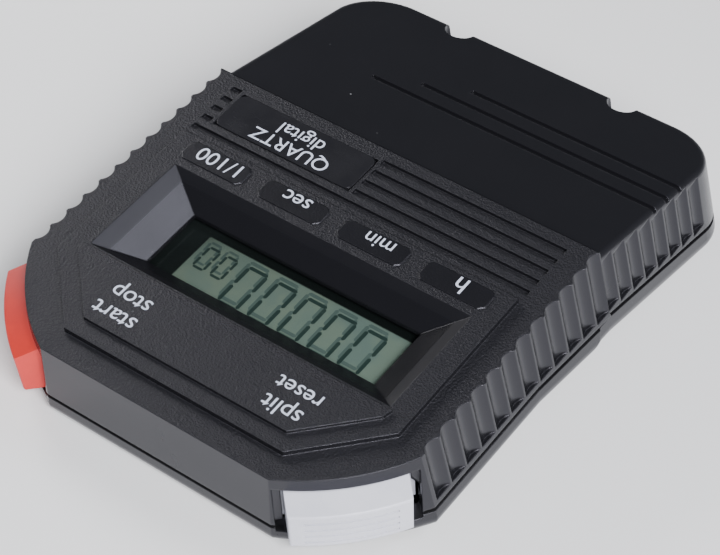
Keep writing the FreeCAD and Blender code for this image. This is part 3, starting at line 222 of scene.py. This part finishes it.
plasticLooks = {
    "baseGloss": {"colour": tone(0.008, 0.008, 0.009), "other": tone(0.012, 0.012, 0.013), "rough": 0.24,
                  "grain": 6.0, "height": 0.00001, "scuff": 0.10, "edge": 0.0002},
    "buttonRed": {"colour": tone(0.60, 0.032, 0.020), "other": tone(0.50, 0.024, 0.016), "rough": 0.36,
                  "grain": 5.0, "height": 0.00002, "scuff": 0.08, "edge": 0.00012},
    "buttonWhite": {"colour": tone(0.60, 0.605, 0.67), "other": tone(0.54, 0.545, 0.61), "rough": 0.38,
                    "grain": 5.0, "height": 0.00002, "scuff": 0.08, "edge": 0.00012},
    "plateGloss": {"colour": tone(0.010, 0.010, 0.012), "other": tone(0.014, 0.014, 0.016), "rough": 0.26,
                   "grain": 3.0, "height": 0.000008, "scuff": 0.10, "edge": 0.00012},
    "innerBlack": {"colour": tone(0.035, 0.035, 0.038), "other": tone(0.05, 0.05, 0.053), "rough": 0.5,
                   "grain": 4.0, "height": 0.00003, "scuff": 0.10, "edge": 0.0001},
    "plungerGrey": {"colour": tone(0.11, 0.11, 0.115), "other": tone(0.15, 0.15, 0.155), "rough": 0.42,
                    "grain": 6.0, "height": 0.00002, "scuff": 0.08, "edge": 0.0001},
    "switchCase": {"colour": tone(0.04, 0.04, 0.043), "other": tone(0.055, 0.055, 0.058), "rough": 0.46,
                   "grain": 6.0, "height": 0.00002, "scuff": 0.08, "edge": 0.0001},
    "chipResin": {"colour": tone(0.012, 0.012, 0.013), "other": tone(0.02, 0.02, 0.02), "rough": 0.34,
                  "grain": 2.0, "height": 0.00005, "scuff": 0.12, "edge": 0.0001},
    "ceramicChip": {"colour": tone(0.42, 0.31, 0.21), "other": tone(0.5, 0.39, 0.28), "rough": 0.5,
                    "grain": 8.0, "height": 0.00002, "scuff": 0.05, "edge": 0.00005}}
plasticDust = tone(0.45, 0.45, 0.46)


def plastic(name):
    look = plasticLooks[name]
    s = Shader(name)
    spot = s.faceSpot()
    cloud = s.noise(spot, 0.16, 4.0, 0.6)
    fine = s.noise(spot, look["grain"], 3.0)
    scratches = s.noise(s.stretch(spot, (0.25, 5.0, 2.0)), 1.0, 2.0, 0.7).rise(0.62, 0.74)
    speck = s.cells(spot, 0.3).rise(0.045, 0.02) * cloud.rise(0.5, 0.6)
    colour = s.mix(cloud.rise(0.3, 0.7) * 0.8 + fine * 0.2, look["colour"], look["other"])
    colour = s.mix(speck * 0.3, colour, plasticDust)
    rough = look["rough"] + (cloud - 0.5) * look["scuff"] * 1.6 + scratches * look["scuff"] * 0.6
    return s.done(s.skin(Base_Color=colour, Roughness=rough, IOR=plasticIndex,
                         Specular_Tint=shellLook["tint"],
                         Normal=s.bump(fine + scratches * 0.3, 0.5, look["height"], look["edge"])))


metalLooks = {
    "platedSteel": {"colour": tone(0.56, 0.56, 0.58), "other": tone(0.42, 0.42, 0.43), "rough": 0.3,
                    "brush": (2, 2, 0.3)},
    "nickelSpring": {"colour": tone(0.66, 0.63, 0.57), "other": tone(0.5, 0.47, 0.42), "rough": 0.28,
                     "brush": (0.3, 4, 4)},
    "crystalCan": {"colour": tone(0.6, 0.6, 0.6), "other": tone(0.45, 0.45, 0.46), "rough": 0.3,
                   "brush": (0.3, 5, 5)},
    "brassTrimmer": {"colour": tone(0.6, 0.43, 0.17), "other": tone(0.45, 0.31, 0.12), "rough": 0.33,
                     "brush": (3, 3, 0.5)},
    "brushedFoil": {"colour": tone(0.62, 0.65, 0.6), "other": tone(0.5, 0.53, 0.49), "rough": 0.42,
                    "brush": (0.2, 7, 1)}}
metalDepth, metalEdge = 0.00001, 0.00006


def metal(name):
    look = metalLooks[name]
    s = Shader(name)
    spot = s.faceSpot()
    brush = s.noise(s.stretch(spot, look["brush"]), 2.0, 4.0, 0.6)
    cloud = s.noise(spot, 0.5, 3.0)
    colour = s.mix(brush * 0.6 + cloud * 0.4, look["colour"], look["other"])
    rough = look["rough"] + (brush - 0.5) * 0.2 + cloud.rise(0.55, 0.75) * 0.12
    return s.done(s.skin(Base_Color=colour, Metallic=1.0, Roughness=rough,
                         Normal=s.bump(brush, 0.3, metalDepth, metalEdge)))


displayLook = {
    "left": -18.2, "right": 15.1, "front": -21.0, "rear": -29.9, "soft": 0.12, "coolSpan": (-18.0, 15.0),
    "glass": tone(0.36, 0.42, 0.345), "cool": tone(0.27, 0.35, 0.33), "fibre": tone(0.2, 0.25, 0.21),
    "fibreShare": 0.12, "fibreDepth": 0.000004, "bezelAndShadow": tone(0.008, 0.010, 0.010), "rough": 0.22,
    "fieldRough": 0.2}


def displayGlass():
    # the grey-green field with its dark border, a little cooler towards one end; the border is partly the
    # dark bezel and partly painted shadow of the recess walls, wider at the +X end and the rear edge
    s = Shader("displayGlass")
    look = displayLook
    spot = s.faceSpot()
    x, y = s.parts(spot)[:2]
    acrossField = x.within(look["left"], look["right"], look["soft"])
    field = acrossField * y.within(look["rear"], look["front"], look["soft"])
    cloud = s.noise(spot, 0.22, 3.0)
    fibre = s.noise(s.stretch(spot, (1.0, 9.0, 1.0)), 2.0, 2.0)
    warmth = cloud.rise(0.35, 0.65) * 0.6 + x.rise(*look["coolSpan"]) * 0.4
    green = s.mix(warmth, look["cool"], look["glass"])
    green = s.mix(fibre * look["fibreShare"], green, look["fibre"])
    # outside the field: the dark bezel and painted shadow of the recess walls
    colour = s.mix(field, look["bezelAndShadow"], green)
    rough = look["rough"] + field * look["fieldRough"] + (cloud - 0.5) * 0.1
    return s.done(s.skin(Base_Color=colour, Roughness=rough, Normal=s.bump(fibre, 0.2, look["fibreDepth"])))


windowLook = {"haze": tone(0.02, 0.025, 0.025), "clear": tone(0.93, 0.96, 0.94), "index": 1.46,
              "rough": 0.05, "wipeRough": 0.06, "mirrorShare": 0.75, "mirrorLeast": 0.015}


def windowClear():
    # see-through pane: nothing but its own reflection and a little haze
    s = Shader("windowClear")
    look = windowLook
    spot = s.faceSpot()
    wipe = s.noise(s.stretch(spot, (0.15, 1.2, 1.0)), 1.0, 4.0)
    rough = look["rough"] + wipe.rise(0.45, 0.7) * look["wipeRough"]
    gloss = s.skin(Base_Color=look["haze"], Roughness=rough, IOR=look["index"])
    clear = s.add("ShaderNodeBsdfTransparent", {}, {"Color": look["clear"]})
    mirror = s.add("ShaderNodeFresnel", {}, {"IOR": look["index"]})
    share = mirror * look["mirrorShare"] + look["mirrorLeast"]
    return s.done(s.add("ShaderNodeMixShader", {}, {0: share, 1: clear, 2: gloss}))


inkLooks = {
    "labelInk": {"colour": tone(0.60, 0.64, 0.76), "thin": tone(0.38, 0.41, 0.52), "rough": 0.5,
                 "grain": 7.0},
    "digitInk": {"colour": tone(0.035, 0.07, 0.065), "thin": tone(0.07, 0.11, 0.10), "rough": 0.4,
                 "grain": 3.0},
    # digitShade is painted shadow: the colour of the digit segments' shadows on the reflector
    "digitShade": {"colour": tone(0.155, 0.215, 0.205), "thin": tone(0.19, 0.25, 0.225), "rough": 0.45,
                   "grain": 3.0}}
inkDepth = 0.00001


def ink(name):
    look = inkLooks[name]
    s = Shader(name)
    spot = s.faceSpot()
    wear = s.noise(spot, look["grain"], 4.0, 0.65)
    patch = s.noise(spot, 0.7, 2.0)
    colour = s.mix(wear.rise(0.52, 0.75) * 0.7 + patch.rise(0.5, 0.8) * 0.3, look["colour"], look["thin"])
    return s.done(s.skin(Base_Color=colour, Roughness=look["rough"] + (wear - 0.5) * 0.2,
                         Normal=s.bump(wear, 0.4, inkDepth)))


boardLook = {
    "mask": tone(0.015, 0.11, 0.045), "track": tone(0.03, 0.2, 0.08), "core": tone(0.28, 0.24, 0.12),
    "coreDark": tone(0.2, 0.17, 0.09), "pitch": 0.62, "laneGap": 0.14, "laneSoft": 0.3, "laneLength": 2.6,
    "laneWidth": 0.5, "rough": 0.3, "weaveRough": 0.15, "depth": 0.00003, "edge": 0.00006}


def boardLaminate():
    # green solder mask over tracks that show as raised lines, bare glass-fibre at the edges
    s = Shader("boardLaminate")
    look = boardLook
    spot = s.faceSpot()
    lanes = s.add("ShaderNodeTexBrick", {"offset": 0.5, "squash": 1.0},
                  {"Vector": spot, "Color1": tone(1, 1, 1), "Color2": tone(0.6, 0.6, 0.6),
                   "Mortar": tone(0, 0, 0), "Scale": look["pitch"], "Mortar Size": look["laneGap"],
                   "Mortar Smooth": look["laneSoft"], "Brick Width": look["laneLength"],
                   "Row Height": look["laneWidth"]}, "Fac")
    flat = s.facing(faceUp).absolute().rise(0.7, 0.8)
    weave = s.noise(s.stretch(spot, (6.0, 1.0, 6.0)), 2.0, 2.0)
    colour = s.mix(lanes, look["track"], look["mask"])
    colour = s.mix(flat, s.mix(weave, look["core"], look["coreDark"]), colour)
    return s.done(s.skin(Base_Color=colour, Roughness=look["rough"] + weave * look["weaveRough"],
                         Normal=s.bump(1 - lanes, 0.5, look["depth"], look["edge"])))


zebraLook = {"rubber": tone(0.5, 0.2, 0.24), "carbon": tone(0.04, 0.04, 0.045),
             "bloom": tone(0.3, 0.16, 0.17), "bloomShare": 0.3, "layerTurns": 12.0,
             "rough": 0.6, "cloudRough": 0.15, "depth": 0.00002}


def zebraRubber():
    # conductive layers between insulating ones, side by side along the strip
    s = Shader("zebraRubber")
    look = zebraLook
    spot = s.faceSpot()
    wave = s.parts(spot)[0] * look["layerTurns"]
    layers = wave.calc("SINE", wave)
    cloud = s.noise(spot, 1.2, 3.0)
    colour = s.mix(layers.rise(-0.3, 0.3), look["rubber"], look["carbon"])
    colour = s.mix(cloud * look["bloomShare"], colour, look["bloom"])
    return s.done(s.skin(Base_Color=colour, Roughness=look["rough"] + cloud * look["cloudRough"],
                         Normal=s.bump(layers, 0.2, look["depth"])))


cellLook = {
    "jacket": tone(0.02, 0.035, 0.09), "band": tone(0.62, 0.45, 0.12), "metal": tone(0.6, 0.6, 0.6),
    "print": tone(0.1, 0.1, 0.12), "printShare": 0.15, "bandFrom": (9.0, 9.15), "plusRim": (21.7, 21.8),
    "minusRim": (-20.9, -21.0), "rough": 0.25, "cloudRough": 0.15, "depth": 0.00005}


def cellJacket():
    # printed film with one coloured end and a bare metal rim
    s = Shader("cellJacket")
    look = cellLook
    spot = s.faceSpot()
    x = s.parts(spot)[0]
    cloud = s.noise(spot, 0.4, 3.0)
    rim = x.rise(*look["plusRim"]).most(x.rise(*look["minusRim"]))
    colour = s.mix(x.rise(*look["bandFrom"]), look["jacket"], look["band"])
    colour = s.mix(cloud * look["printShare"], colour, look["print"])
    return s.done(s.skin(Base_Color=s.mix(rim, colour, look["metal"]), Metallic=rim,
                         Roughness=look["rough"] + cloud * look["cloudRough"],
                         Normal=s.bump(cloud, 0.2, look["depth"])))


finishes = {"shellPlastic": shellPlastic(), "displayGlass": displayGlass(), "windowClear": windowClear(),
            "boardLaminate": boardLaminate(), "zebraRubber": zebraRubber(), "cellJacket": cellJacket()}
finishes.update({name: plastic(name) for name in plasticLooks})
finishes.update({name: metal(name) for name in metalLooks})
finishes.update({name: ink(name) for name in inkLooks})
print("finishes made:", len(finishes))

# what each CAD piece is made of
nodeFinish = {
    "upper_shell": "shellPlastic", "base_shell": "baseGloss", "battery_cover": "baseGloss",
    "start_stop_button": "buttonRed", "split_reset_button": "buttonWhite", "name_plate": "plateGloss",
    "start_stop_plunger": "plungerGrey", "split_reset_plunger": "plungerGrey",
    "start_stop_switch": "switchCase", "split_reset_switch": "switchCase",
    "window_lens": "windowClear", "lcd_panel": "displayGlass", "lcd_reflector": "brushedFoil",
    "lcd_holder": "innerBlack", "battery_cradle": "innerBlack", "contact_strips": "zebraRubber",
    "circuit_board": "boardLaminate", "timer_chip": "chipResin", "quartz_crystal": "crystalCan",
    "trimmer_capacitor": "brassTrimmer", "chip_capacitors": "ceramicChip", "housing_screws": "platedSteel",
    "board_screws": "platedSteel", "lanyard_bar": "platedSteel", "battery_cell": "cellJacket",
    "battery_terminal": "platedSteel", "battery_spring": "nickelSpring", "plus_contact": "nickelSpring",
    "minus_contact": "nickelSpring"}
for nodeName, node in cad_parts.items():
    node.data.materials.clear()
    node.data.materials.append(finishes[nodeFinish[nodeName]])
print("CAD nodes finished")


def addPiece(name, mesh, finish):
    # the mesh is drawn flat on the face, in millimetres, and rides on the housing
    mesh.transform(faceFrame)
    mesh.materials.clear()
    mesh.materials.append(finishes[finish])
    piece = bpy.data.objects.new(name, mesh)
    bpy.context.scene.collection.objects.link(piece)
    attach(piece, "housing")
    return piece


# the window over the display
pane = {"width": 39.4, "near": -19.5, "far": -32.1, "top": -3.72, "bottom": -4.42,
        "chamfer": 0.12, "chamferSteps": 2, "chamferBulge": 0.6}


def windowPane():
    mesh = bpy.data.meshes.new("windowPane")
    bm = bmesh.new()
    bmesh.ops.create_cube(bm, size=1.0)
    middle = Vector((0, (pane["near"] + pane["far"]) / 2, (pane["top"] + pane["bottom"]) / 2))
    spans = Vector((pane["width"], pane["near"] - pane["far"], pane["top"] - pane["bottom"]))
    for vertex in bm.verts:
        vertex.co = middle + Vector(a * b for a, b in zip(vertex.co, spans))
    bmesh.ops.bevel(bm, geom=bm.edges[:], offset=pane["chamfer"], segments=pane["chamferSteps"],
                    affect="EDGES", profile=pane["chamferBulge"])
    bm.to_mesh(mesh)
    bm.free()
    return addPiece("windowPane", mesh, "windowClear")


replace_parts(windowPane(), "window_lens")

# the digits of the display, one instance for each segment
digits = {"big": {"centres": [-13.3, -8.5, -3.7, 1.1, 5.9], "top": -21.6, "bottom": -28.5, "width": 2.95,
                  "barLength": 3.15, "barWidth": 0.55},
          "small": {"centres": [10.15, 13.05], "top": -24.6, "bottom": -28.4, "width": 1.75,
                    "barLength": 1.72, "barWidth": 0.4},
          "inkHeight": 0.008, "level": -4.47, "shadeLevel": -4.487, "shadeShift": (0.42, -0.8)}
hexagon = {"corners": 6, "flatHeight": 0.866, "shoulder": 0.75}  # for a radius of 1


def segmentTree():
    tree = bpy.data.node_groups.new("displaySegments", "GeometryNodeTree")
    face = tree.interface
    face.new_socket("Geometry", in_out="INPUT", socket_type="NodeSocketGeometry")
    for label, value in (("Bar Length", 3.0), ("Bar Width", 0.5), ("Ink Height", 0.01)):
        face.new_socket(label, in_out="INPUT", socket_type="NodeSocketFloat").default_value = value
    face.new_socket("Finish", in_out="INPUT", socket_type="NodeSocketMaterial")
    face.new_socket("Geometry", in_out="OUTPUT", socket_type="NodeSocketGeometry")

    def add(kind, settings=None, inputs=None):
        return newNode(tree, kind, settings, inputs).outputs[0]

    def maths(operation, one, other=0.0):
        return add("ShaderNodeMath", {"operation": operation}, {0: one, 1: other})

    given = tree.nodes.new("NodeGroupInput").outputs
    halfWidth = maths("MULTIPLY", given["Bar Width"], 0.5)
    halfLength = maths("MULTIPLY", given["Bar Length"], 0.5)
    bar = add("GeometryNodeMeshCylinder", {"fill_type": "NGON"},
              {"Vertices": hexagon["corners"], "Radius": 1.0, "Depth": given["Ink Height"]})
    # the hexagon's two tips go to the ends of the bar, its other corners half a width short of them
    x = add("ShaderNodeSeparateXYZ", {}, {0: add("GeometryNodeInputPosition")})
    y, z = x.node.outputs[1], x.node.outputs[2]
    isShoulder = maths("LESS_THAN", maths("ABSOLUTE", x), hexagon["shoulder"])
    reach = maths("SUBTRACT", halfLength, maths("MULTIPLY", isShoulder, halfWidth))
    shaped = add("ShaderNodeCombineXYZ", {},
                 {0: maths("MULTIPLY", maths("SIGN", x), reach),
                  1: maths("MULTIPLY", maths("DIVIDE", y, hexagon["flatHeight"]), halfWidth), 2: z})
    bar = add("GeometryNodeSetPosition", {}, {"Geometry": bar, "Position": shaped})
    turn = add("GeometryNodeInputNamedAttribute", {"data_type": "FLOAT"}, {"Name": "turn"})
    placed = add("GeometryNodeInstanceOnPoints", {},
                 {"Points": given["Geometry"], "Instance": bar,
                  "Rotation": add("ShaderNodeCombineXYZ", {}, {2: turn})})
    real = add("GeometryNodeRealizeInstances", {}, {"Geometry": placed})
    painted = add("GeometryNodeSetMaterial", {}, {"Geometry": real, "Material": given["Finish"]})
    newNode(tree, "NodeGroupOutput", {}, {0: painted})
    return tree


def grow(name, spots, tree, values):
    # runs the tree over loose points (x, y, z, turn) and returns the plain mesh it makes
    mesh = bpy.data.meshes.new(name)
    mesh.from_pydata([spot[:3] for spot in spots], [], [])
    turns = mesh.attributes.new("turn", "FLOAT", "POINT")
    for i, spot in enumerate(spots):
        turns.data[i].value = spot[3]
    holder = bpy.data.objects.new(name, mesh)
    bpy.context.scene.collection.objects.link(holder)
    modifier = holder.modifiers.new("grow", "NODES")
    modifier.node_group = tree
    inputs = [item for item in tree.interface.items_tree if item.in_out == "INPUT"]
    sockets = {item.name: item.identifier for item in inputs}
    for label, value in values.items():
        modifier[sockets[label]] = value
    bpy.context.view_layer.update()
    seen = holder.evaluated_get(bpy.context.evaluated_depsgraph_get())
    grown = bpy.data.meshes.new_from_object(seen)
    holder.modifiers.remove(modifier)
    bpy.data.objects.remove(holder)
    return grown


def joined(name, meshes):
    bm = bmesh.new()
    for mesh in meshes:
        bm.from_mesh(mesh)
    whole = bpy.data.meshes.new(name)
    bm.to_mesh(whole)
    bm.free()
    return whole


def noughtSpots(look, level, shift):
    # the six lit segments of each nought
    spots = []
    middle = (look["top"] + look["bottom"]) / 2 + shift[1]
    quarter = (look["top"] - look["bottom"]) / 4
    for centre in look["centres"]:
        centre += shift[0]
        spots += [(centre, middle + side * quarter * 2, level, 0.0) for side in (-1, 1)]
        spots += [(centre + side * look["width"] / 2, middle + lift * quarter, level, math.pi / 2)
                  for side in (-1, 1) for lift in (-1, 1)]
    return spots


def displaySegments(name, finish, level, shift, height):
    tree = segmentTree()
    grown = []
    for kind in ("big", "small"):
        look = digits[kind]
        grown.append(grow(name + kind, noughtSpots(look, level, shift), tree,
                          {"Bar Length": look["barLength"], "Bar Width": look["barWidth"],
                           "Ink Height": height, "Finish": finishes[finish]}))
    addPiece(name, joined(name, grown), finish)


displaySegments("displayDigits", "digitInk", digits["level"], (0, 0), digits["inkHeight"])
# painted shadows of the digits: a paler copy of the segments, set a little deeper and shifted towards the
# rear
displaySegments("displayShades", "digitShade", digits["shadeLevel"], digits["shadeShift"],
                digits["inkHeight"])
print("display drawn")

# printed words, each a thin layer of ink set to its width and centre
faceRows = [  # text, centre x, centre y, width, height of the surface
    ("start", 13.15, -8.75, 6.5, 1.3), ("stop", 13.05, -12.1, 5.9, 1.3),
    ("split", -13.4, -8.75, 5.6, 1.3), ("reset", -13.55, -12.1, 6.6, 1.3),
    ("h", -19.9, -37.75, 1.45, 0.95), ("min", -7.1, -37.85, 4.3, 0.95),
    ("sec", 6.3, -37.85, 4.2, 0.95), ("1/100", 19.15, -37.75, 6.9, 0.95)]
plateRows = [("QUARTZ", 13.4, -45.6, 12.6, 0.1), ("digital", 13.4, -48.3, 7.2, 0.1)]
inkLayer = {"thick": 0.012, "sunk": 0.004, "curveSteps": 6, "weld": 1e-5,
            "letterMiddle": 0.27}  # half the height of a small letter, in font units


def printedWords(name, rows):
    meshes = []
    for text, x, y, width, level in rows:
        curve = bpy.data.curves.new(text, "FONT")
        curve.body = text
        curve.align_x = "CENTER"
        curve.resolution_u = inkLayer["curveSteps"]
        holder = bpy.data.objects.new(text, curve)
        bpy.context.scene.collection.objects.link(holder)
        bpy.context.view_layer.update()
        seen = holder.evaluated_get(bpy.context.evaluated_depsgraph_get())
        mesh = bpy.data.meshes.new_from_object(seen)
        bpy.data.objects.remove(holder)
        xs = [vertex.co.x for vertex in mesh.vertices]
        scale = width / (max(xs) - min(xs))
        middle = (max(xs) + min(xs)) / 2
        bm = bmesh.new()
        bm.from_mesh(mesh)
        for vertex in bm.verts:
            vertex.co = Vector(((vertex.co.x - middle) * scale + x,
                                (vertex.co.y - inkLayer["letterMiddle"]) * scale + y,
                                level + inkLayer["thick"]))
        bmesh.ops.remove_doubles(bm, verts=bm.verts, dist=inkLayer["weld"])
        down = bmesh.ops.extrude_face_region(bm, geom=bm.faces[:])["geom"]
        for vertex in [item for item in down if isinstance(item, bmesh.types.BMVert)]:
            vertex.co.z -= inkLayer["thick"] + inkLayer["sunk"]
        bmesh.ops.recalc_face_normals(bm, faces=bm.faces)
        bm.to_mesh(mesh)
        bm.free()
        meshes.append(mesh)
    return joined(name, meshes)


addPiece("faceWords", printedWords("faceWords", faceRows), "labelInk")
addPiece("plateWords", printedWords("plateWords", plateRows), "labelInk")
print("words printed")

# floor, lights and camera
room = {"floor": tone(0.90, 0.90, 0.91), "floorCloud": tone(0.87, 0.87, 0.88), "floorRough": 0.75,
        "floorHalf": 4, "sky": tone(0.80, 0.86, 1.0), "skyPower": 0.12}
lamps = [  # name, place, size in metres, watts, colour
    ("keyLight", (-0.54, 0.42, 0.53), 0.4, 16.5, (0.98, 0.985, 1.0)),
    ("rearLight", (-0.42, -0.30, 0.62), 0.3, 1.5, (0.93, 0.95, 1.0)),
    ("leftLight", (0.22, -0.05, 0.14), 0.1, 0.33, (1.0, 0.99, 0.97))]


def paleFloor():
    s = Shader("paleFloor")
    spot = s.place()
    cloud = s.noise(spot, 3.0, 3.0)
    return s.done(s.skin(Base_Color=s.mix(cloud * 0.3, room["floor"], room["floorCloud"]),
                         Roughness=room["floorRough"] + cloud * 0.1))


half = room["floorHalf"]
floorMesh = bpy.data.meshes.new("floor")
floorMesh.from_pydata([(-half, -half, 0), (half, -half, 0), (half, half, 0), (-half, half, 0)], [],
                      [(0, 1, 2, 3)])
floorMesh.materials.append(paleFloor())
floor = bpy.data.objects.new("floor", floorMesh)
bpy.context.scene.collection.objects.link(floor)

world = bpy.data.worlds.new("studio")
bpy.context.scene.world = world
world.use_nodes = True
sky = world.node_tree.nodes["Background"]
sky.inputs["Color"].default_value = room["sky"]
sky.inputs["Strength"].default_value = room["skyPower"]

for name, place, size, power, colour in lamps:
    light = bpy.data.lights.new(name, "AREA")
    light.size = size
    light.energy = power
    light.color = colour
    lamp = bpy.data.objects.new(name, light)
    lamp.location = place
    lamp.rotation_euler = (-Vector(place)).to_track_quat("-Z", "Y").to_euler()
    bpy.context.scene.collection.objects.link(lamp)

# the camera stands off the button end to the reader's left, in face millimetres
viewpoint = {
    "centre": (-127.0046, 118.1034, 213.8131), "right": (-0.80777149, -0.58839682, -0.0359777),
    "down": (-0.41942252, 0.61653923, -0.66630634), "ahead": (0.4142342, -0.5231334, -0.74480969),
    "lens": 112.48, "sensor": 36, "clip": (0.01, 20)}
camera = bpy.data.cameras.new("camera")
camera.sensor_width = viewpoint["sensor"]
camera.lens = viewpoint["lens"]
camera.clip_start, camera.clip_end = viewpoint["clip"]
eye = bpy.data.objects.new("camera", camera)
up = [-value for value in viewpoint["down"]]
back = [-value for value in viewpoint["ahead"]]
turned = Matrix([viewpoint["right"], up, back]).transposed()
standpoint = Matrix.Translation(faceFrame @ Vector(viewpoint["centre"]))
eye.matrix_world = standpoint @ faceTurn @ turned.to_4x4()
bpy.context.scene.collection.objects.link(eye)
bpy.context.scene.camera = eye
print("studio lit")
